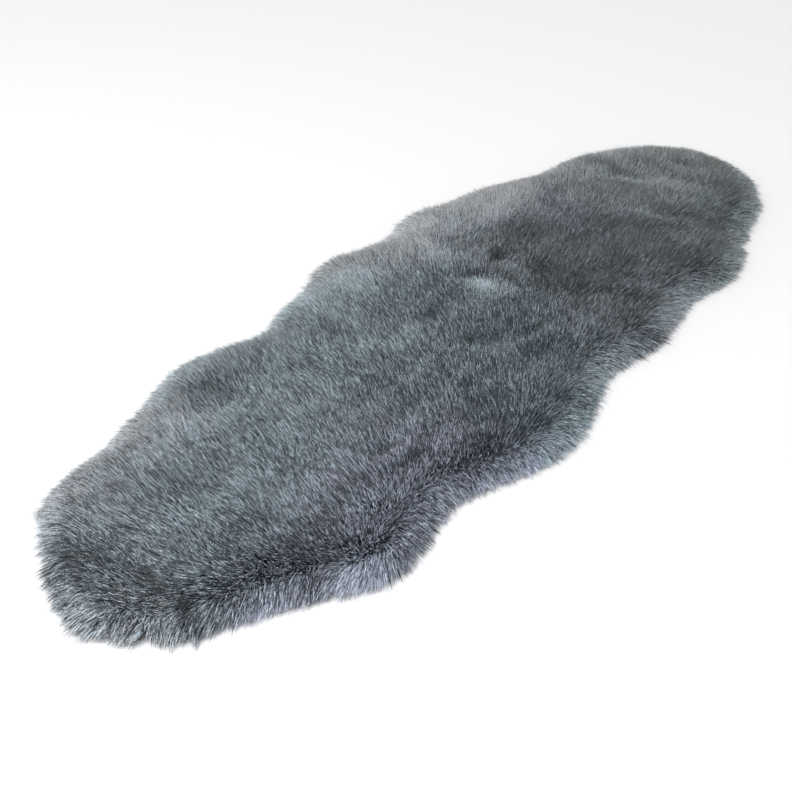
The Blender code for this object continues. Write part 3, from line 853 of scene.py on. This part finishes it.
def join_wisps(name, form, wisps, material, seed):
    """One mesh of many wisps: the form repeated along each wisp's curve."""
    rng = np.random.default_rng(seed)
    count, corners = len(wisps.root), len(form.points)
    t = form.points[:, 2][None, :, None]
    spine = ((1 - t) ** 2 * wisps.root[:, None] + 2 * t * (1 - t) * wisps.bend[:, None]
             + t ** 2 * wisps.tip[:, None])
    axis = wisps.tip - wisps.root
    axis /= np.linalg.norm(axis, axis=1)[:, None]
    side = np.cross(axis, rng.normal(size=(count, 3)))
    side /= np.linalg.norm(side, axis=1)[:, None]
    other = np.cross(axis, side)
    half = wisps.width[:, None, None] / 2
    places = spine + half * (form.points[:, 0][None, :, None] * side[:, None]
                             + form.points[:, 1][None, :, None] * other[:, None])
    places[:, :, 2] = np.maximum(places[:, :, 2], WISP_LOWEST)
    faces = (form.faces[None] + (np.arange(count) * corners)[:, None, None]).reshape(-1, 3)
    mesh = bpy.data.meshes.new(name)
    mesh.vertices.add(count * corners)
    mesh.vertices.foreach_set("co", places.astype(np.float32).ravel())
    mesh.loops.add(len(faces) * 3)
    mesh.loops.foreach_set("vertex_index", faces.astype(np.int32).ravel())
    mesh.polygons.add(len(faces))
    mesh.polygons.foreach_set("loop_start", np.arange(0, len(faces) * 3, 3, dtype=np.int32))
    mesh.update(calc_edges=True)
    mesh.polygons.foreach_set("use_smooth", np.ones(len(faces), bool))
    tone = wisps.tone[:, None] + rng.normal(0, SIDE_TONE, (count, 3))
    tone = np.clip(tone, *TONE_ENDS)[:, form.sides][:, :, None]
    across = tone + WISP_ON_MAP * form.points[form.faces, 0][None]
    up = MAP_MARGIN + (1 - 2 * MAP_MARGIN) * form.points[form.faces, 2][None]
    up = (wisps.tint[:, None, None] + up) / len(TINTS)
    layer = mesh.uv_layers.new(name="OFBake")
    layer.uv.foreach_set("vector", np.stack([across, up], axis=3).astype(np.float32).ravel())
    piece = bpy.data.objects.new(name, mesh)
    bpy.context.scene.collection.objects.link(piece)
    return finish_piece(piece, name, material)


def tufted(places, seed):
    """How the wisps at these places gather: the pull of their tips, their lift and their tone."""
    pull = np.zeros_like(places)
    lift = np.zeros(len(places))
    tone = np.zeros(len(places))
    for number, tuft in enumerate(TUFTS):
        middle, own, away = tuft_of(places, tuft.size, seed + number)
        pull += tuft.pull * (middle - places)
        lift += tuft.lift * (TUFT_DOME - away / tuft.size) + tuft.lift * (own - 0.5)
        tone += tuft.tone * (own - 0.5)
    return pull, lift, tone


def closeness(places, spot):
    """1 at the spot, falling off over its size."""
    return np.exp(-((places - (spot.x, spot.y)) ** 2).sum(axis=1) / spot.size ** 2)


def relief(places, ground):
    """The tone that ridges and partings give, and the way uphill. Ridges catch the light,
    and partings are in shade, with the pile falling away from them to both sides."""
    around = np.zeros(len(places))
    uphill = np.zeros_like(places)
    spokes = 6
    for bearing in np.arange(spokes) * 2 * np.pi / spokes:
        aim = np.array([math.cos(bearing), math.sin(bearing)])
        aside = surface_heights(places + RELIEF_SPAN * aim)
        aside = np.where(aside > 0, aside, ground)
        around += aside / spokes
        uphill += (aside - ground)[:, None] * aim * 2 / spokes / RELIEF_SPAN
    return (RELIEF_LIGHT_AND_SHADE * (ground - around)).clip(-RELIEF_MOST, RELIEF_MOST), uphill


def bands(places):
    """The long soft bands of painted sheen and shade on the pile: along the near pelt, and across the
    far one.
    """
    across = ripple(places * (NEAR_BAND_LONG, 1.0), NEAR_BAND, SEED + 6)
    along = ripple(places * (1.0, FAR_BAND_LONG), FAR_BAND, SEED + 7)
    far = np.clip((places[:, 0] - FAR_BAND_FROM) / FAR_BAND_FADE, 0, 1)
    return across * (1 - far) + FAR_BAND_MORE * along * far


def tint_of(places, rng):
    """A row of the map for each wisp, mixed fibre by fibre where two dyes meet."""
    weights = np.full((len(places), len(TINTS)), 1e-6)
    for dye in DYES:
        weights[:, dye.tint] += closeness(places, dye)
    for number in range(len(TINTS)):
        mottle = DYE_MOTTLE.amount * ripple(places, DYE_MOTTLE.size, SEED + 60 + number)
        weights[:, number] *= np.exp(mottle)
    weights = np.cumsum(weights ** DYE_SHARP, axis=1)
    drawn = rng.uniform(0, 1, len(places)) * weights[:, -1]
    return (drawn[:, None] > weights).sum(axis=1).clip(0, len(TINTS) - 1)


def lock_reaches(footprint, count):
    """How far each of the solid's rim locks stops short of the reach, or passes it."""
    points = np.array([v.co for v in solid.data.vertices])
    inset, _, nearest = footprint.look(points[:, :2])
    reaches = np.full(count, LOCK_SHORTEST)
    np.minimum.at(reaches, nearest // REACH_STEPS, inset)
    return reaches


def part_at_splits(tip):
    """Moves the tips that lie in a split to its two sides."""
    for split in SPLITS:
        bearing = math.radians(split.bearing)
        aim = np.array([math.cos(bearing), math.sin(bearing)])
        cross = np.array([-aim[1], aim[0]])
        off = tip[:, :2] - (split.x, split.y)
        along, across = off @ aim, off @ cross
        open_by = split.wide * np.clip(along / split.long, 0, SPLIT_OPENS)
        cleared = SPLIT_CLEARS * split.wide
        inside = (along > 0) & (along < SPLIT_RUNS_ON * split.long) & (np.abs(across) < cleared)
        gone = np.clip(1 - np.abs(across) / cleared, 0, 1)
        shift = np.where(across >= 0, 1.0, -1.0) * open_by * gone
        tip[inside, :2] += (shift[:, None] * cross)[inside]


def grow(footprint, ends, spacing, width, seed, longer=0.0):
    """The wisps rooted between two distances in from the reach. Those on the crown stand and
    lean as combed. Towards the rim they roll outwards and fall, gathered into its locks."""
    rng = np.random.default_rng(SEED + seed)
    places = scattered(spacing, SEED + seed + 1)
    inset, out, nearest = footprint.look(places)
    chosen = (inset > ends[0]) & (inset <= ends[1])
    places, inset, out, nearest = places[chosen], inset[chosen], out[chosen], nearest[chosen]
    count = len(places)
    pull, lift, tone = tufted(places, SEED + seed + 2)
    ground = surface_heights(places)
    foot = UNDERCOAT_FOOT + UNDERCOAT_RISE * ground - WISP_ROOT
    lean = combed(places)

    # 0 at the cut edge, 1 where the roll begins
    t = np.clip((inset - RIM_FROM) / (ROLL_DEEP - RIM_FROM), 0, 1)
    drawn_out = RIM_FROM * (1 - t) ** ROLL_SPREAD
    tip_inset = np.maximum(inset - drawn_out, 0)
    tall = rng.normal(0, 1, count)
    rise = ground - foot + lift + TIP_TALL * tall - TIP_BELOW
    over = lean * (rise * t ** ROLL_EASE + COMB_SHIFT * (1 - t) ** ROLL_EASE)[:, None]
    shade, uphill = relief(places, ground)
    over += UPHILL_SHIFT * uphill * t[:, None]
    along = np.stack([-out[:, 1], out[:, 0]], axis=1)
    sweep = along * ((lean * along).sum(axis=1) * COMB_SWEEP * (1 - t) ** ROLL_EASE)[:, None]
    lock = nearest // REACH_STEPS
    within = (nearest % REACH_STEPS + 0.5) / REACH_STEPS - 0.5
    tufted_here = np.clip((TUFTED_END - places[:, 0]) / TUFTED_FADE, 0, 1)
    marked = FINE_LOCKS + (1 - FINE_LOCKS) * tufted_here
    gather = -within * LOCK_GATHERS * LOCK_WIDE * marked * (1 - t) ** 2
    more = sum(r.more * closeness(places, r) for r in REACHES)
    more -= marked * (footprint.locks[lock] + LOCK_POINT * (np.abs(within) - 0.25))
    leftwards = np.clip(out @ LEFT_OUT, 0, 1)
    more += LEFT_REACHES * leftwards + longer
    outward = drawn_out + (1 - t) * (more + rng.normal(0, REACH_RANDOM, count))
    tip = np.zeros((count, 3))
    tip[:, :2] = places + out * outward[:, None] + along * gather[:, None] + over + sweep + pull
    tip[:, :2] += rng.normal(0, TIP_RANDOM, (count, 2))
    part_at_splits(tip)
    low, high = (np.array(corner[:2]) for corner in cad_box)
    tip[:, :2] = np.clip(tip[:, :2], low - STRAYS, high + STRAYS)
    rolled = ROLL_HIGH * (1 - (1 - np.clip(tip_inset / ROLL_DEEP, 0, 1)) ** ROLL_ROUND)
    crowned = surface_heights(tip[:, :2])
    blend = np.clip(ROLL_MEETS[0] * t - ROLL_MEETS[1], 0, 1)
    tip[:, 2] = rolled * (1 - blend) + np.where(crowned > 0, crowned, rolled) * blend
    tip[:, 2] += (lift + TIP_TALL * tall) * (ROLL_EVEN + (1 - ROLL_EVEN) * t) - TIP_BELOW
    tip[:, 2] += LEFT_STANDS * leftwards * 4 * t * (1 - t)
    lowest = TIP_LOWEST + TIP_LOWEST_RANDOM * rng.uniform(0, 1, count)
    tip[:, 2] = np.maximum(tip[:, 2], lowest)
    root_height = np.where(t < 1, np.minimum(foot, ROOT_LOW + ROOT_RISE * t), foot)
    root = np.column_stack([places, root_height])
    bend = root + (tip - root) * BEND_AT
    bend[:, :2] -= BEND_SWEEP * sweep
    bend[:, 2] += BEND_RISE * (1 - t)
    fine = 1 - FAR_FINER * np.clip((places[:, 0] - FAR_FROM) / FAR_FADE, 0, 1)
    fine *= 1 - RIM_FINER * (1 - t)
    own_tone = rng.normal(0, TONE_RANDOM, count) + TALL_PALE * tall
    # The wisps' own tone, with painted sheen and shade added from the patches, the bands, the relief
    # and the right shoulder
    tone += PILE_TONE + painted_sheen_and_shade(places) + fine * own_tone
    tone += MOTTLE_TONE.amount * ripple(places, MOTTLE_TONE.size, SEED + 5) + BAND_SHEEN_AND_SHADE * bands(places)
    tone += rim_tone(out, t) + shade * t
    widths = width * rng.uniform(*WIDTH_RANDOM, count)
    return Wisps(root, bend, tip, widths, tone, tint_of(places, rng))


def rim_tone(out, t):
    """The rim's tips are thinner and paler. The shoulder above them, on the right, is in shade."""
    shoulder = np.exp(-((t - SHOULDER_AT) / SHOULDER_WIDE) ** 2) * np.clip(-out[:, 1], 0, 1)
    pale = (1 - t) ** RIM_PALE_ENDS * (RIM_PALE - RIM_PALE_RIGHT * out[:, 1])
    return pale - SHOULDER_SHADE * shoulder


def add_undercoat(footprint, material):
    """The dense wool between the wisps, dark with painted shade: the solid's form, lower, and drawn in
    at the rim.
    """
    piece = merged_copy("undercoat")
    points = np.array([v.co for v in piece.data.vertices])
    inset, out, _ = footprint.look(points[:, :2])
    short = np.clip(UNDERCOAT_REACH - inset, 0.0, None) * (1 - UNDERCOAT_KEEPS)
    points[:, :2] -= out * short[:, None]
    points[:, 2] = UNDERCOAT_FOOT + UNDERCOAT_RISE * points[:, 2]
    piece.data.vertices.foreach_set("co", points.astype(np.float32).ravel())
    piece.data.update()
    piece.data.shade_smooth()
    return finish_piece(piece, "undercoat", material)


# The rug, put together


add_camera()
add_studio()
backing = add_backing()
loop, cut_area = edge_loop(backing)
footprint = Footprint(*smooth_reach(loop))
bpy.context.view_layer.objects.active = backing
thicken = backing.modifiers.new("thickness", "SOLIDIFY")
thicken.thickness = BACKING_THICK
thicken.offset = 1.0
bpy.ops.object.modifier_apply(modifier="thickness")
finish_piece(backing, "backing", backing_material())

footprint.locks = lock_reaches(footprint, len(loop))

pile = [add_undercoat(footprint, shaded_undercoat_material())]
hair = wisp_material("guard_hair", *HAIR_SHADE)
rim_hair = wisp_material("rim_hair", *RIM_SHADE)
spike, bent = model_wisp(0, 1.0), model_wisp(1, 0.42)
crown = grow(footprint, (COLLAR_TO, 1.0), CROWN_SPACING, CROWN_WIDTH, 100)
quarter = np.digitize(crown.root[:, 0], np.quantile(crown.root[:, 0], (0.25, 0.5, 0.75)))
for number, name in enumerate(("crown_near", "crown_mid_near", "crown_mid_far", "crown_far")):
    pile.append(join_wisps(name, spike, pick(crown, quarter == number), hair, SEED + 40 + number))
collar = grow(footprint, (COLLAR_FROM, COLLAR_TO), COLLAR_SPACING, COLLAR_WIDTH, 200)
pile.append(join_wisps("collar", spike, collar, hair, SEED + 45))
rim = grow(footprint, (RIM_FROM - RIM_FROM_SLACK, COLLAR_FROM), RIM_SPACING, RIM_WIDTH, 300)
for name, side in (("rim_left", rim.root[:, 1] > 0), ("rim_right", rim.root[:, 1] <= 0)):
    pile.append(join_wisps(name, bent, pick(rim, side), rim_hair, SEED + 50))
fuzz = grow(footprint, (RIM_FROM, FUZZ_TO), FUZZ_SPACING, FUZZ_WIDTH, 400, longer=FUZZ_LONGER)
fuzz = fuzz._replace(tone=fuzz.tone + FUZZ_PALER)
pile.append(join_wisps("rim_fuzz", bent, fuzz, rim_hair, SEED + 55))

low, high = loop.min(axis=0), loop.max(axis=0)
float(high[1] - low[1])
float(high[0] - low[0])
